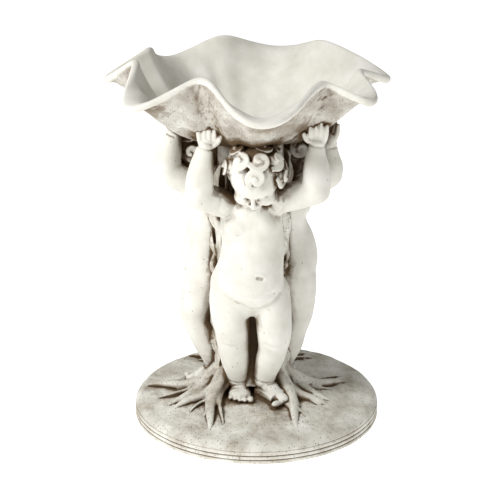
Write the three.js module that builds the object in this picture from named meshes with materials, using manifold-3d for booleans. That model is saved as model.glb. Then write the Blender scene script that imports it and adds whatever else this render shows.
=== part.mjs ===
// Cherub garden statue in cast stone: three cherubs stand back to back round a vine-covered
// trunk on a round plinth and hold up a ruffled bowl.
// Millimetres, +Z up, the front is -Y. The origin is the middle of the plinth's underside.
import * as THREE from 'three';
import { mergeVertices } from 'three/addons/utils/BufferGeometryUtils.js';
import Module from 'manifold-3d';

const wasm = await Module();
wasm.setup();

const UP = new THREE.Vector3(0, 0, 1);

// ---------------------------------------------------------------- driving dimensions

const PLINTH = {
  radius: 200,        // outer radius over the reeds
  reedPitch: 7,       // height of one reed
  reeds: 3,
  grooveDepth: 1.6,
  shoulder: 188,      // radius where the sloping shoulder meets the ground
  rimHeight: 32.5,    // height of that edge
  moundHeight: 50,    // height of the ground in the middle
  segments: 36,
};

const GROUP = { x: -10, y: 8 };   // the trunk's axis

const TRUNK = { foot: 62, waist: 44, head: 52, top: 474 };

const VINES = { radius: 58, low: 100, high: 400, step: 60 };   // how far out and how high the stems run

const BASIN = {
  x: -10,
  y: 0,
  thickness: 10,
  bottom: 470,        // middle of the wall's thickness at the centre
  segments: 56,
  gap: 0.3,           // clearance to the casting that carries it
  handle: 48,         // how far the lip's slope is felt inwards
  lobeSlope: -24,     // slope of the wall at the lip, in degrees, at a lobe and at a crest
  crestSlope: 68,
  shares: [0, 0.2, 0.42, 0.6, 0.75, 0.88, 1],   // where the wall's rings stand, middle to lip
};

// Crests and troughs of the bowl's edge in turn: azimuth from the front, radius, height.
const RUFFLES = [
  [5, 201, 551], [43, 157, 589], [59, 212, 560], [82, 170, 582], [99, 217, 557], [134, 168, 592],
  [168, 203, 563], [196, 168, 590], [220, 200, 558], [256, 166, 599], [270, 221, 566],
  [283, 180, 602], [302, 216, 552], [331, 147, 598],
];

const COLOURS = { stone: 0xd8d5c8, basin: 0xd2cfc2 };

// A cherub is set out in its own frame: u to its left hand, v outwards from the trunk, z up.
// A station is [u, v, z, half width, half depth].
const BODY = {
  torso: [
    [-3, 68, 196, 30, 20], [-4, 65, 216, 50, 36], [-5, 66, 240, 60, 43], [-3, 71, 258, 57, 46],
    [1, 69, 281, 52, 45],
    [4, 62, 309, 50, 41], [2, 60, 342, 50, 37], [0, 64, 368, 47, 32], [1, 68, 388, 33, 25],
  ],
  torsoTurn: 14,
  straightLeg: [
    [-26, 62, 262, 24, 28], [-30, 62, 236, 34, 39], [-32, 67, 202, 32, 34], [-29, 70, 168, 27, 28],
    [-27, 62, 140, 25, 26],
    [-24, 57, 112, 22.5, 24], [-21, 50, 88, 17.5, 18], [-19, 44, 64, 14.5, 15],
  ],
  bentLeg: [
    [24, 62, 262, 24, 28], [28, 62, 236, 34, 39], [36, 73, 200, 29, 32], [38, 80, 165, 26.5, 26],
    [36, 71, 140, 23, 24],
    [31, 63, 116, 22, 23], [25, 56, 92, 18, 18], [21, 53, 66, 15, 15],
  ],
};

// A foot is the middle of its heel, the middle of its ball and the degrees that it turns outwards.
const FEET = {
  right: { heel: [-17, 30, 56], ball: [-17, 66, 54], turn: -2 },
  left: { heel: [16, 46, 56], ball: [46, 76, 54], turn: 42 },
};

const HEAD = {
  centre: [7, 93, 436],
  radius: 41,
  length: 48,
  pitch: 45,
  turn: -6,
  locks: 30,
  lockReach: 0.36,    // radians from the middle of a lock to its edge
  hair: 2,
  curl: 10,
};

// The arms of each cherub: shoulder, elbow, wrist and palm. The side cherubs reach differently.
const ARM_RADII = { shoulder: 22, elbow: 21, forearm: 19, wrist: 13.5 };
const ARMS = {
  right: { shoulder: [-40, 68, 382], elbow: [-81, 94, 405], wrist: [-71, 93, 472], palm: [-66, 93, 491] },
  left: { shoulder: [40, 68, 388], elbow: [103, 93, 412], wrist: [100, 86, 472], palm: [103, 84, 492] },
  leftForward: { shoulder: [40, 70, 386], elbow: [74, 113, 418], wrist: [64, 104, 466], palm: [61, 101, 482] },
  rightLow: { shoulder: [-40, 68, 386], elbow: [-81, 97, 414], wrist: [-79, 98, 448], palm: [-77, 97, 470] },
};
const CHERUBS = [
  { azimuth: 0, right: ARMS.right, left: ARMS.left },
  { azimuth: 120, right: ARMS.rightLow, left: ARMS.left },
  { azimuth: -120, right: ARMS.right, left: ARMS.leftForward },
];

// ---------------------------------------------------------------- solids from geometry

/** A closed manifold solid from a three.js geometry. */
function solid(geometry) {
  geometry.deleteAttribute('normal');
  geometry.deleteAttribute('uv');
  const merged = mergeVertices(geometry, 1e-3);
  const index = merged.index.array;
  const corners = [];
  for (let i = 0; i < index.length; i += 3) {
    const [a, b, c] = [index[i], index[i + 1], index[i + 2]];
    if (a !== b && b !== c && c !== a) corners.push(a, b, c);
  }
  return new wasm.Manifold(new wasm.Mesh({
    numProp: 3,
    vertProperties: new Float32Array(merged.attributes.position.array),
    triVerts: new Uint32Array(corners),
  }));
}

/** Moves every vertex of a geometry through a function from Vector3 to Vector3. */
function reshape(geometry, move) {
  const position = geometry.attributes.position;
  const vertex = new THREE.Vector3();
  for (let i = 0; i < position.count; i += 1) {
    vertex.fromBufferAttribute(position, i);
    const moved = move(vertex.clone());
    position.setXYZ(i, moved.x, moved.y, moved.z);
  }
  return geometry;
}

/** A point given as u, v, z in a cherub's frame. */
function point([u, v, z]) {
  return new THREE.Vector3(u, -v, z);
}

/** A rounded tube through stations, whose section is an ellipse that follows the stations. */
function limb(stations, sides, rings, { turn = 0, capSteps = 1 } = {}) {
  const path = new THREE.CatmullRomCurve3(stations.map(point));
  const girth = new THREE.CatmullRomCurve3(
    stations.map(([, , , a, b = a]) => new THREE.Vector3(a, b, 0)), false, 'catmullrom');
  const across = new THREE.Vector3(1, 0, 0).applyAxisAngle(UP, THREE.MathUtils.degToRad(turn));
  const capsule = new THREE.CapsuleGeometry(1, rings, capSteps, sides, rings);
  return solid(reshape(capsule, (vertex) => {
    const along = THREE.MathUtils.clamp(vertex.y, -rings / 2, rings / 2);
    const t = (along + rings / 2) / rings;
    const half = girth.getPoint(t);
    const tangent = path.getTangent(t);
    const depth = new THREE.Vector3().crossVectors(tangent, across).normalize();
    const width = new THREE.Vector3().crossVectors(depth, tangent);
    return path.getPoint(t)
      .addScaledVector(tangent, (vertex.y - along) * Math.min(half.x, half.y))
      .addScaledVector(width, vertex.x * half.x)
      .addScaledVector(depth, -vertex.z * half.y);
  }));
}

/** An ellipsoid at a place in a cherub's frame, with its three half sizes. */
function ball(place, halves, wide, high) {
  const sphere = new THREE.SphereGeometry(1, wide, high);
  sphere.rotateX(Math.PI / 2);
  sphere.scale(...halves);
  const at = point(place);
  sphere.translate(at.x, at.y, at.z);
  return solid(sphere);
}

function union(solids) {
  return solids.reduce((whole, piece) => whole.add(piece));
}

/** The solid turned about the trunk's axis by an azimuth in degrees. */
function turned(piece, azimuth) {
  return piece.rotate([0, 0, azimuth]);
}

// ---------------------------------------------------------------- plinth, trunk, roots and vines

/** Height of the ground over the plinth at a radius from its middle. */
function groundHeight(radius) {
  const fall = Math.min(radius / PLINTH.shoulder, 1);
  return PLINTH.rimHeight + (PLINTH.moundHeight - PLINTH.rimHeight) * (1 - fall ** 1.7);
}

function plinth() {
  const { radius, reedPitch, reeds, grooveDepth, shoulder, rimHeight } = PLINTH;
  const profile = [new THREE.Vector2(0, 0), new THREE.Vector2(radius, 0)];
  for (let reed = 1; reed <= reeds; reed += 1) {
    const top = reed * reedPitch;
    profile.push(new THREE.Vector2(radius, top - 1));
    profile.push(new THREE.Vector2(radius - grooveDepth, top));
    if (reed < reeds) profile.push(new THREE.Vector2(radius, top + 1));
  }
  profile.push(new THREE.Vector2(shoulder + 6, rimHeight - 3));
  for (const share of [1, 0.7, 0.35, 0]) {
    profile.push(new THREE.Vector2(shoulder * share, groundHeight(shoulder * share)));
  }
  const lathe = new THREE.LatheGeometry(profile, PLINTH.segments);
  lathe.rotateX(Math.PI / 2);
  return solid(lathe);
}

function trunk() {
  const { foot, waist, head, top } = TRUNK;
  return limb([[0, 0, foot + 4, foot], [0, 0, 110, waist + 4], [0, 0, 200, waist], [0, 0, 330, waist],
    [0, 0, top - 50, head]], 10, 4);
}

/** Roots that run out from the trunk between two cherubs, with the stone that lies among them. */
function roots(gap) {
  const spread = [-25, -7, 11, 29];
  const pieces = spread.map((offset, i) => {
    const bend = i % 2 === 0 ? 7 : -6;
    const reach = 150 + 14 * Math.cos(i * 2.1);
    const station = (share, radius, lift, size) => {
      const angle = THREE.MathUtils.degToRad(offset * share + bend * Math.sin(share * Math.PI));
      return [radius * Math.sin(angle), radius * Math.cos(angle), groundHeight(radius) + lift, size, size * 0.8];
    };
    return limb([station(0.25, 38, 62, 12), station(0.5, 62, 18, 13), station(0.75, 98, 5, 9.5),
      station(1, 130, 1, 6.5), station(1.15, reach, -2, 4)], 4, 3);
  });
  const stone = ball([-8, 62, 54], [15, 14, 13], 6, 5);
  return turned(union([...pieces, stone]), gap);
}

/** Twisting stems and long pointed leaves that climb the trunk between two cherubs. */
function vines(gap) {
  const { radius, low, high, step } = VINES;
  const climb = Array.from({ length: (high - low) / step + 1 }, (_, i) => low + step * i);
  const stem = (start, swing, size) => limb(climb.map((z, i) => {
    const angle = THREE.MathUtils.degToRad(start + swing * Math.sin(i * 1.3 + start));
    return [radius * Math.sin(angle), radius * Math.cos(angle), z, size];
  }), 4, 4);
  const leaf = (angle, z, lean) => {
    const radians = THREE.MathUtils.degToRad(angle);
    const out = (away, rise, half) => [
      away * Math.sin(radians) + lean * rise * 0.3, away * Math.cos(radians), z + rise, half, half * 0.4];
    return limb([out(radius, -20, 2.5), out(radius + 5, -4, 7), out(radius + 8, 12, 6),
      out(radius + 6, 28, 2)], 4, 2);
  };
  const berryAngle = THREE.MathUtils.degToRad(-3);
  const berryAway = radius + 4;
  const berry = ball([berryAway * Math.sin(berryAngle), berryAway * Math.cos(berryAngle), 268],
    [6.5, 6.5, 6.5], 5, 4);
  return turned(union([stem(-8, 7, 7), stem(9, 7, 6), leaf(-9, 165, 1), leaf(8, 220, -1),
    leaf(-6, 330, 1), berry]), gap);
}

// ---------------------------------------------------------------- a cherub

/** Rows of curls round the skull: how far the hair stands out in a direction of the head's frame. */
function curls(direction) {
  let lift = 0;
  for (let i = 0; i < HEAD.locks; i += 1) {
    const height = 1 - (2 * (i + 0.5)) / HEAD.locks;
    const angle = i * Math.PI * (3 - Math.sqrt(5));
    const ring = Math.sqrt(1 - height * height);
    const centre = new THREE.Vector3(ring * Math.cos(angle), ring * Math.sin(angle), height);
    const away = direction.angleTo(centre) / HEAD.lockReach;
    lift = Math.max(lift, HEAD.curl * (1 - Math.min(away, 1) ** 2));
  }
  return lift;
}

/** How far the face and the hair stand out from the skull in a direction of the head's frame. */
function headLift(direction) {
  const bump = (x, y, z, reach, height) => {
    const away = direction.angleTo(new THREE.Vector3(x, y, z).normalize()) / reach;
    return height * (1 - THREE.MathUtils.smoothstep(away, 0, 1));
  };
  const cheeks = bump(0.42, -0.8, -0.34, 0.42, 3) + bump(-0.42, -0.8, -0.34, 0.42, 3);
  const middle = bump(0, -1, -0.3, 0.24, 7) + bump(0, -0.75, -0.75, 0.4, 4) + bump(0, -1, 0.3, 0.7, 2);
  const features = cheeks + middle;
  const face = THREE.MathUtils.smoothstep(-direction.y - 0.3 * direction.z, 0.45, 0.7);
  return THREE.MathUtils.lerp(HEAD.hair + curls(direction), features, face);
}

/** The bowed head: a face among curls, on a short neck. */
function head() {
  const { centre, radius, length, pitch, turn } = HEAD;
  const skull = reshape(new THREE.SphereGeometry(1, 15, 12), (v) => {
    const lift = headLift(v.clone().normalize());
    const jaw = v.z < 0 ? 1 - 0.2 * v.z * v.z : 1;
    return new THREE.Vector3(v.x * (radius * jaw + lift), v.y * (length * 0.94 + lift), v.z * (length + lift));
  });
  const pose = new THREE.Matrix4().makeTranslation(point(centre))
    .multiply(new THREE.Matrix4().makeRotationZ(THREE.MathUtils.degToRad(turn)))
    .multiply(new THREE.Matrix4().makeRotationX(THREE.MathUtils.degToRad(pitch)));
  const neck = limb([[1, 66, 380, 22], [3, 76, 400, 21], [5, 84, 420, 22]], 6, 1);
  return solid(skull.applyMatrix4(pose)).add(neck);
}

/** A raised arm with its palm and five fingers against the bowl. */
function arm({ shoulder, elbow, wrist, palm }, side) {
  const { shoulder: top, elbow: bend, forearm, wrist: thin } = ARM_RADII;
  const mix = (a, b, share) => a.map((value, i) => value + (b[i] - value) * share);
  const whole = limb([[...shoulder, top], [...mix(shoulder, elbow, 0.55), bend - 1], [...elbow, bend],
    [...mix(elbow, wrist, 0.5), forearm], [...wrist, thin], [...palm, 16, 10]], 7, 7);
  const [u, v, z] = palm;
  const fingers = [-1.5, -0.5, 0.5, 1.5].map((place) => limb([
    [u + place * 7.6, v + 2, z - 2, 3.7], [u + place * 8.2, v + 8, z + 27, 3.6]], 4, 1));
  const thumb = limb([[u - side * 10, v, z - 6, 5], [u - side * 20, v + 5, z + 8, 4.4]], 4, 1);
  return union([whole, ...fingers, thumb]);
}

/** A plump foot with five toes. */
function foot({ heel, ball: front, turn }, side) {
  const sole = limb([[...heel, 14, 13], [...front.map((value, i) => (value + heel[i]) / 2), 14.5, 13],
    [...front, 18, 11]], 7, 2, { turn: -turn });
  const angle = THREE.MathUtils.degToRad(turn);
  const toes = [-2, -1, 0, 1, 2].map((place) => {
    const size = place * side === -2 ? 6 : 4.6;
    const across = place * 7.6;
    const ahead = 7 - Math.abs(place) * 2.4 - place * side * 0.8;
    const u = front[0] + across * Math.cos(angle) + ahead * Math.sin(angle);
    const v = front[1] - across * Math.sin(angle) + ahead * Math.cos(angle);
    return ball([u, v, front[2] - 3], [size, size, size * 0.95], 4, 3);
  });
  return union([sole, ...toes]);
}

function cherub({ azimuth, right, left }) {
  const torso = limb(BODY.torso, 11, 6, { turn: BODY.torsoTurn });
  const legs = [limb(BODY.straightLeg, 7, 6), limb(BODY.bentLeg, 7, 6)];
  const whole = union([torso, ...legs, foot(FEET.right, -1), foot(FEET.left, 1),
    arm(right, -1), arm(left, 1), head()]);
  return turned(whole, azimuth);
}

// ---------------------------------------------------------------- the basin

/** The bowl's edge at an azimuth: radius, height and how far it is towards a crest, 0 to 1. */
function edge(degrees) {
  const azimuth = ((degrees % 360) + 360) % 360;
  let next = RUFFLES.findIndex(([at]) => at > azimuth);
  if (next < 0) next = RUFFLES.length;
  const from = RUFFLES.at(next - 1);
  const to = RUFFLES.at(next % RUFFLES.length);
  const span = (((to[0] - from[0]) % 360) + 360) % 360;
  const along = (((azimuth - from[0]) % 360) + 360) % 360;
  const ease = (1 - Math.cos((Math.PI * along) / span)) / 2;
  const height = from[2] + (to[2] - from[2]) * ease;
  const crest = THREE.MathUtils.smoothstep(height, 556, 592);
  return { radius: from[1] + (to[1] - from[1]) * ease, height, crest };
}

/** The wall's middle line at an azimuth, as a curve in radius and height. */
function wallLine(degrees) {
  const { radius, height, crest } = edge(degrees);
  const slope = THREE.MathUtils.degToRad(THREE.MathUtils.lerp(BASIN.lobeSlope, BASIN.crestSlope, crest));
  const { handle } = BASIN;
  return new THREE.CubicBezierCurve(
    new THREE.Vector2(0, BASIN.bottom),
    new THREE.Vector2(radius * 0.7, BASIN.bottom - 4),
    new THREE.Vector2(radius - handle * Math.cos(slope), height - handle * Math.sin(slope)),
    new THREE.Vector2(radius, height));
}

/** Points of a section through the wall: outside upwards, round the lip, and down the inside. */
function wallSection(degrees, thickness) {
  const line = wallLine(degrees);
  const half = thickness / 2;
  const { shares } = BASIN;
  const offset = (share, angle) => {
    const at = line.getPoint(share);
    const tangent = share === 0 ? new THREE.Vector2(1, 0) : line.getTangent(share);
    const normal = new THREE.Vector2(tangent.y, -tangent.x);
    return at.addScaledVector(normal, half * Math.cos(angle)).addScaledVector(tangent, half * Math.sin(angle));
  };
  const outside = shares.map((share) => offset(share, 0));
  const lip = [offset(1, Math.PI / 2)];
  const inside = shares.map((share) => offset(share, Math.PI)).reverse();
  outside[0].x = 0;
  inside.at(-1).x = 0;
  return [...outside, ...lip, ...inside];
}

/** A ring of sections, each turned to its azimuth about the bowl's axis. */
function revolve(section) {
  const rows = section(0).length;
  const stand = Array.from({ length: rows }, (_, row) => (
    new THREE.Vector2(row === 0 || row === rows - 1 ? 0 : 1, row)));
  const lathe = new THREE.LatheGeometry(stand, BASIN.segments);
  const sections = Array.from({ length: BASIN.segments }, (_, i) => section((360 * i) / BASIN.segments));
  let index = 0;
  return solid(reshape(lathe, () => {
    const column = Math.floor(index / rows) % BASIN.segments;
    const { x: radius, y: height } = sections[column][index % rows];
    index += 1;
    const azimuth = (2 * Math.PI * column) / BASIN.segments;
    return new THREE.Vector3(BASIN.x + radius * Math.sin(azimuth), BASIN.y - radius * Math.cos(azimuth), height);
  }));
}

function basin() {
  return revolve((degrees) => wallSection(degrees, BASIN.thickness));
}

/** All the room at and over the bowl's outer face, with the clearance under it. */
function basinRoom() {
  const ceiling = 700;
  return revolve((degrees) => {
    const section = wallSection(degrees, BASIN.thickness + 2 * BASIN.gap);
    const outside = section.slice(0, BASIN.shares.length);
    const rim = outside.at(-1);
    return [...outside, new THREE.Vector2(rim.x + 1, ceiling), new THREE.Vector2(0, ceiling)];
  });
}

// ---------------------------------------------------------------- the object

function pedestal() {
  const gaps = [60, 180, 300];
  const group = union([trunk(), ...gaps.map(roots), ...gaps.map(vines), ...CHERUBS.map(cherub)]);
  return plinth().add(group.translate([GROUP.x, GROUP.y, 0])).subtract(basinRoom());
}

function mesh(name, piece, colour) {
  const { vertProperties, triVerts } = piece.getMesh();
  const geometry = new THREE.BufferGeometry();
  geometry.setAttribute('position', new THREE.BufferAttribute(vertProperties, 3));
  geometry.setIndex(new THREE.BufferAttribute(triVerts, 1));
  const material = new THREE.MeshStandardMaterial({ color: colour, roughness: 0.85, metalness: 0 });
  const result = new THREE.Mesh(geometry, material);
  result.name = name;
  return result;
}

const statue = new THREE.Group();
statue.add(mesh('pedestal', pedestal(), COLOURS.stone));
statue.add(mesh('basin', basin(), COLOURS.basin));

export default statue;
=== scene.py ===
"""Cherub garden statue in cast stone: the dressed model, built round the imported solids.

Three cherubs stand back to back round a vine-covered trunk on a reeded plinth and hold up a ruffled
bowl. Sizes are in millimetres and places are (across, outwards, up) about the axis that a part is
modelled on; they become Blender's metres, with the front at -Y, where a mesh is made.
"""

import logging
import math
from dataclasses import dataclass, field
from enum import Enum
from typing import Callable, Sequence

import bmesh
import bpy
import numpy as np
from mathutils import Matrix, Vector, noise
from mathutils.bvhtree import BVHTree


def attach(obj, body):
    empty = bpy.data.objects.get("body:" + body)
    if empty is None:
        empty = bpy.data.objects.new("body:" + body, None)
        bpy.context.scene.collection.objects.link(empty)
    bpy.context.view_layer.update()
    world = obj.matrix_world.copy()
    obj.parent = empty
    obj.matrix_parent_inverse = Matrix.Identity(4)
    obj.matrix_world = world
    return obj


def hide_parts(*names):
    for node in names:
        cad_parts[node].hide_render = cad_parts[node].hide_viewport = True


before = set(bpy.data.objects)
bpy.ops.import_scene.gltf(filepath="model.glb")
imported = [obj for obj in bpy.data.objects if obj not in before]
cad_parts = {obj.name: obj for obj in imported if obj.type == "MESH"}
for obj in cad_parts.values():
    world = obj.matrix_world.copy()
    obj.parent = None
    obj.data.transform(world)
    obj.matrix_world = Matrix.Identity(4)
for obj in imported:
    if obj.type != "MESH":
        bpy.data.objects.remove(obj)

LOG = logging.getLogger("cherub_statue")
MM = 0.001
GOLDEN_ANGLE = math.pi * (3 - math.sqrt(5))

Place = Sequence[float]


class Side(Enum):
    """A cherub's own right or left, as the sign of its across axis."""

    RIGHT = -1
    LEFT = 1


# ---------------------------------------------------------------------------- numbers and curves


def smoothstep(value: float, low: float, high: float) -> float:
    """A soft step from 0 at low to 1 at high."""
    share = min(max((value - low) / (high - low), 0.0), 1.0)
    return share * share * (3 - 2 * share)


def mix(start: Place, end: Place, share: float) -> list[float]:
    """The place that lies at a share of the way between two others."""
    return [a + (b - a) * share for a, b in zip(start, end)]


def flow(stations: Sequence[Place], steps: int) -> np.ndarray:
    """Rows that run smoothly through stations.

    Args:
        stations: Rows of numbers of one length.
        steps: How many rows each stretch between two stations becomes.

    Returns:
        The rows of a Catmull-Rom curve, the stations among them.
    """
    rows = np.array(stations, float)
    padded = np.vstack([2 * rows[0] - rows[1], rows, 2 * rows[-1] - rows[-2]])
    made = []
    for a, b, c, d in zip(padded, padded[1:], padded[2:], padded[3:]):
        for t in np.arange(steps) / steps:
            made.append(
                b + 0.5 * t * (c - a + t * (2 * a - 5 * b + 4 * c - d + t * (3 * (b - c) + d - a)))
            )
    made.append(rows[-1])
    return np.array(made)


def at(place: Place) -> Vector:
    """The point in metres of a place (across, outwards, up) in millimetres."""
    return Vector((place[0], -place[1], place[2])) * MM


# ---------------------------------------------------------------------------- working with objects


def deselect_all() -> None:
    """Deselects every object."""
    for selected in list(bpy.context.selected_objects):
        selected.select_set(False)


def only(*objects: bpy.types.Object) -> bpy.types.Object:
    """Selects nothing but these objects and makes the first one active.

    Args:
        objects: The objects to select.

    Returns:
        The first of them.
    """
    deselect_all()
    for item in objects:
        item.select_set(True)
    bpy.context.view_layer.objects.active = objects[0]
    return objects[0]


def apply_modifier(piece: bpy.types.Object, kind: str, **settings: object) -> None:
    """Adds a modifier to a piece, sets it and applies it.

    Args:
        piece: The piece to change.
        kind: The modifier's type.
        settings: The modifier's own properties.
    """
    only(piece)
    bpy.ops.object.modifier_add(type=kind)
    modifier = piece.modifiers[-1]
    for key, value in settings.items():
        setattr(modifier, key, value)
    bpy.ops.object.modifier_apply(modifier=modifier.name)


def coordinates(piece: bpy.types.Object) -> np.ndarray:
    """The vertices of a piece as rows of x, y, z in metres."""
    rows = np.zeros(len(piece.data.vertices) * 3, np.float32)
    piece.data.vertices.foreach_get("co", rows)
    return rows.reshape(-1, 3).astype(float)


def normals(piece: bpy.types.Object) -> np.ndarray:
    """The vertex normals of a piece as rows."""
    rows = np.zeros(len(piece.data.vertices) * 3, np.float32)
    piece.data.vertex_normals.foreach_get("vector", rows)
    return rows.reshape(-1, 3).astype(float)


def move_vertices(piece: bpy.types.Object, rows: np.ndarray) -> None:
    """Puts the vertices of a piece at the given rows of x, y, z in metres."""
    piece.data.vertices.foreach_set("co", rows.astype(np.float32).ravel())
    piece.data.update()


def triangle_count(piece: bpy.types.Object) -> int:
    """How many triangles the faces of a piece make."""
    totals = np.zeros(len(piece.data.polygons), np.int32)
    piece.data.polygons.foreach_get("loop_total", totals)
    return int((totals - 2).sum())


def thin_out(piece: bpy.types.Object, most: int) -> None:
    """Collapses the flattest faces of a piece until it has at most so many triangles."""
    count = triangle_count(piece)
    if count > most:
        apply_modifier(piece, "DECIMATE", ratio=most / count)


def close_up(piece: bpy.types.Object) -> None:
    """Merges the doubled vertices of a piece and turns its faces outwards."""
    only(piece)
    bpy.ops.object.mode_set(mode="EDIT")
    bpy.ops.mesh.select_all(action="SELECT")
    bpy.ops.mesh.remove_doubles(threshold=1e-5)
    bpy.ops.mesh.dissolve_degenerate(threshold=1e-7)
    bpy.ops.mesh.normals_make_consistent(inside=False)
    bpy.ops.object.mode_set(mode="OBJECT")


def roughen(piece: bpy.types.Object, waves: Sequence[tuple[float, float]], share: np.ndarray) -> None:
    """Moves the vertices of a piece in and out by noise.

    Args:
        piece: The piece.
        waves: The size and the height of each layer of noise.
        share: For each vertex how much of it applies, 0 to 1.
    """
    rows = coordinates(piece)
    lift = np.zeros(len(rows))
    for i in np.flatnonzero(share > 0.01):
        spot = Vector(rows[i]) / MM
        lift[i] = sum(height * noise.noise(spot / size) for size, height in waves)
    move_vertices(piece, rows + normals(piece) * (lift * share * MM)[:, None])


def settle(piece: bpy.types.Object, azimuth: float, shift: Place) -> None:
    """Turns a piece about the upright axis and moves it, and leaves its place in its mesh.

    Args:
        piece: The piece, with its object at the origin.
        azimuth: Degrees from the front towards +X.
        shift: Where the axis stands, x, y and z in millimetres.
    """
    only(piece)
    piece.rotation_euler = (0, 0, math.radians(azimuth))
    piece.location = Vector(shift) * MM
    bpy.ops.object.transform_apply(location=True, rotation=True, scale=True)


# ---------------------------------------------------------------------------- clay


class Clay:
    """A lump of clay: closed forms that overlap, kneaded together into one skin.

    Places are (across, outwards, up) in millimetres and go through `pose` first.
    """

    def __init__(self, name: str) -> None:
        """Starts an empty lump.

        Args:
            name: What the lump's object is called.
        """
        deselect_all()
        bpy.ops.object.add(type="MESH")
        self.lump = bpy.context.object
        self.lump.name = name
        self.pose = Matrix.Identity(4)

    def _edit(self) -> None:
        """Goes into the lump's edit mode if it isn't there yet."""
        if self.lump.mode != "EDIT":
            only(self.lump)
            bpy.ops.object.mode_set(mode="EDIT")

    def _leave(self) -> None:
        """Leaves edit mode."""
        if self.lump.mode == "EDIT":
            bpy.ops.object.mode_set(mode="OBJECT")

    def ball(self, place: Place, halves: Place, tilt: Place = (0, 0, 0), fine: int = 8) -> None:
        """Presses an ellipsoid on.

        Args:
            place: Its middle.
            halves: Half its size across, outwards and up.
            tilt: Its turn in degrees about those three axes.
            fine: Half the number of its meridians.
        """
        self._edit()
        turn = Matrix.Rotation(math.radians(-tilt[2]), 4, "Z")
        turn @= Matrix.Rotation(math.radians(tilt[1]), 4, "Y") @ Matrix.Rotation(math.radians(tilt[0]), 4, "X")
        spot, spin, _ = (self.pose @ Matrix.Translation(at(place)) @ turn).decompose()
        bpy.ops.mesh.primitive_uv_sphere_add(
            segments=2 * fine, ring_count=fine, radius=1, location=spot,
            rotation=spin.to_euler(), scale=[half * MM for half in halves])

    def roll(self, stations: Sequence[Place], turn: float = 0, steps: int = 4, sides: int = 16) -> None:
        """Lays a limb on: ellipses across a smooth path, as a sheet rolled into a closed tube.

        Args:
            stations: Rows of a place and the half width and half depth there; one number serves both.
            turn: Degrees that the width axis turns from across towards outwards.
            steps: How many rings each stretch gets.
            sides: How many corners a ring has.
        """
        self._edit()
        rows = flow([list(row) + [row[-1]] * (5 - len(row)) for row in stations], steps)
        across = Vector((math.cos(math.radians(turn)), -math.sin(math.radians(turn)), 0))
        rings = len(rows) + 2
        bpy.ops.mesh.primitive_grid_add(
            x_subdivisions=sides, y_subdivisions=rings - 1, size=2, location=(0, 0, 0))
        mesh = bmesh.from_edit_mesh(self.lump.data)
        points = [self.pose @ at(row) for row in rows]
        side = self.pose.to_3x3() @ across
        sections = []
        for i, row in enumerate(rows):
            ahead = (points[min(i + 1, len(rows) - 1)] - points[max(i - 1, 0)]).normalized()
            near = side if abs(side.dot(ahead)) < 0.9 else Vector((0, 0, 1))
            depth = ahead.cross(near).normalized()
            sections.append((points[i], depth.cross(ahead) * max(row[3], 0.2) * MM, depth * max(row[4], 0.2) * MM))
        for corner in [vertex for vertex in mesh.verts if vertex.select]:
            ring = round((corner.co.y + 1) / 2 * (rings - 1))
            middle, width, depth = sections[min(max(ring - 1, 0), len(rows) - 1)]
            angle = math.pi * corner.co.x
            girth = 0 if ring in (0, rings - 1) else 1
            corner.co = middle + (width * math.cos(angle) + depth * math.sin(angle)) * girth
        bmesh.update_edit_mesh(self.lump.data)

    def strands(self, tubes: Sequence[np.ndarray], sides: int = 2) -> None:
        """Lays thin round strands on, all at once.

        Args:
            tubes: For each strand, rows of a place and the radius there.
            sides: How fine a strand's section is.
        """
        self._leave()
        curve = bpy.data.curves.new("strands", "CURVE")
        curve.dimensions = "3D"
        curve.bevel_depth = 1
        curve.bevel_resolution = sides
        curve.use_fill_caps = True
        for rows in tubes:
            line = curve.splines.new("POLY")
            line.points.add(len(rows) - 1)
            for point, row in zip(line.points, rows):
                point.co = (*(self.pose @ at(row)), 1)
                point.radius = row[3] * MM
        made = bpy.data.objects.new("strands", curve)
        bpy.context.scene.collection.objects.link(made)
        only(made)
        bpy.ops.object.convert(target="MESH")
        self.add(made)

    def add(self, other: bpy.types.Object) -> None:
        """Joins another object's mesh to the lump."""
        self._leave()
        only(self.lump, other)
        bpy.ops.object.join()

    def knead(self, grain: float, rubs: int) -> None:
        """Makes one skin of all the forms and rubs it smooth.

        Args:
            grain: The size of the skin's cells.
            rubs: How often it is smoothed.
        """
        self._leave()
        apply_modifier(self.lump, "REMESH", mode="VOXEL", voxel_size=grain * MM)
        if rubs:
            apply_modifier(self.lump, "SMOOTH", factor=0.5, iterations=rubs)

    def press(self, path: Sequence[Place], width: float, depth: float, snap: bool = True) -> None:
        """Presses a soft groove into the skin along a path, or raises a ridge where depth is negative.

        Args:
            path: Places along it.
            width: How far from the path the groove fades.
            depth: How deep it is.
            snap: Whether the path is first laid on the nearest skin.
        """
        self._leave()
        points = [self.pose @ at(row) for row in (flow(path, 4) if len(path) > 2 else path)]
        rows = coordinates(self.lump)
        line = np.array(points, float)
        if snap:
            line = np.array([rows[np.argmin(((rows - point) ** 2).sum(1))] for point in line])
        away = np.full(len(rows), np.inf)
        near = (rows > line.min(0) - 3 * width * MM).all(1) & (rows < line.max(0) + 3 * width * MM).all(1)
        spots = rows[near]
        best = np.full(len(spots), np.inf)
        for start, end in zip(line, line[1:] if len(line) > 1 else line):
            along = end - start
            share = np.clip((spots - start) @ along / max(along @ along, 1e-12), 0, 1)
            best = np.minimum(best, np.linalg.norm(spots - start - share[:, None] * along, axis=1))
        away[near] = best
        amount = depth * MM * np.exp(-((away / (width * MM)) ** 2))
        move_vertices(self.lump, rows - normals(self.lump) * amount[:, None])

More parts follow.
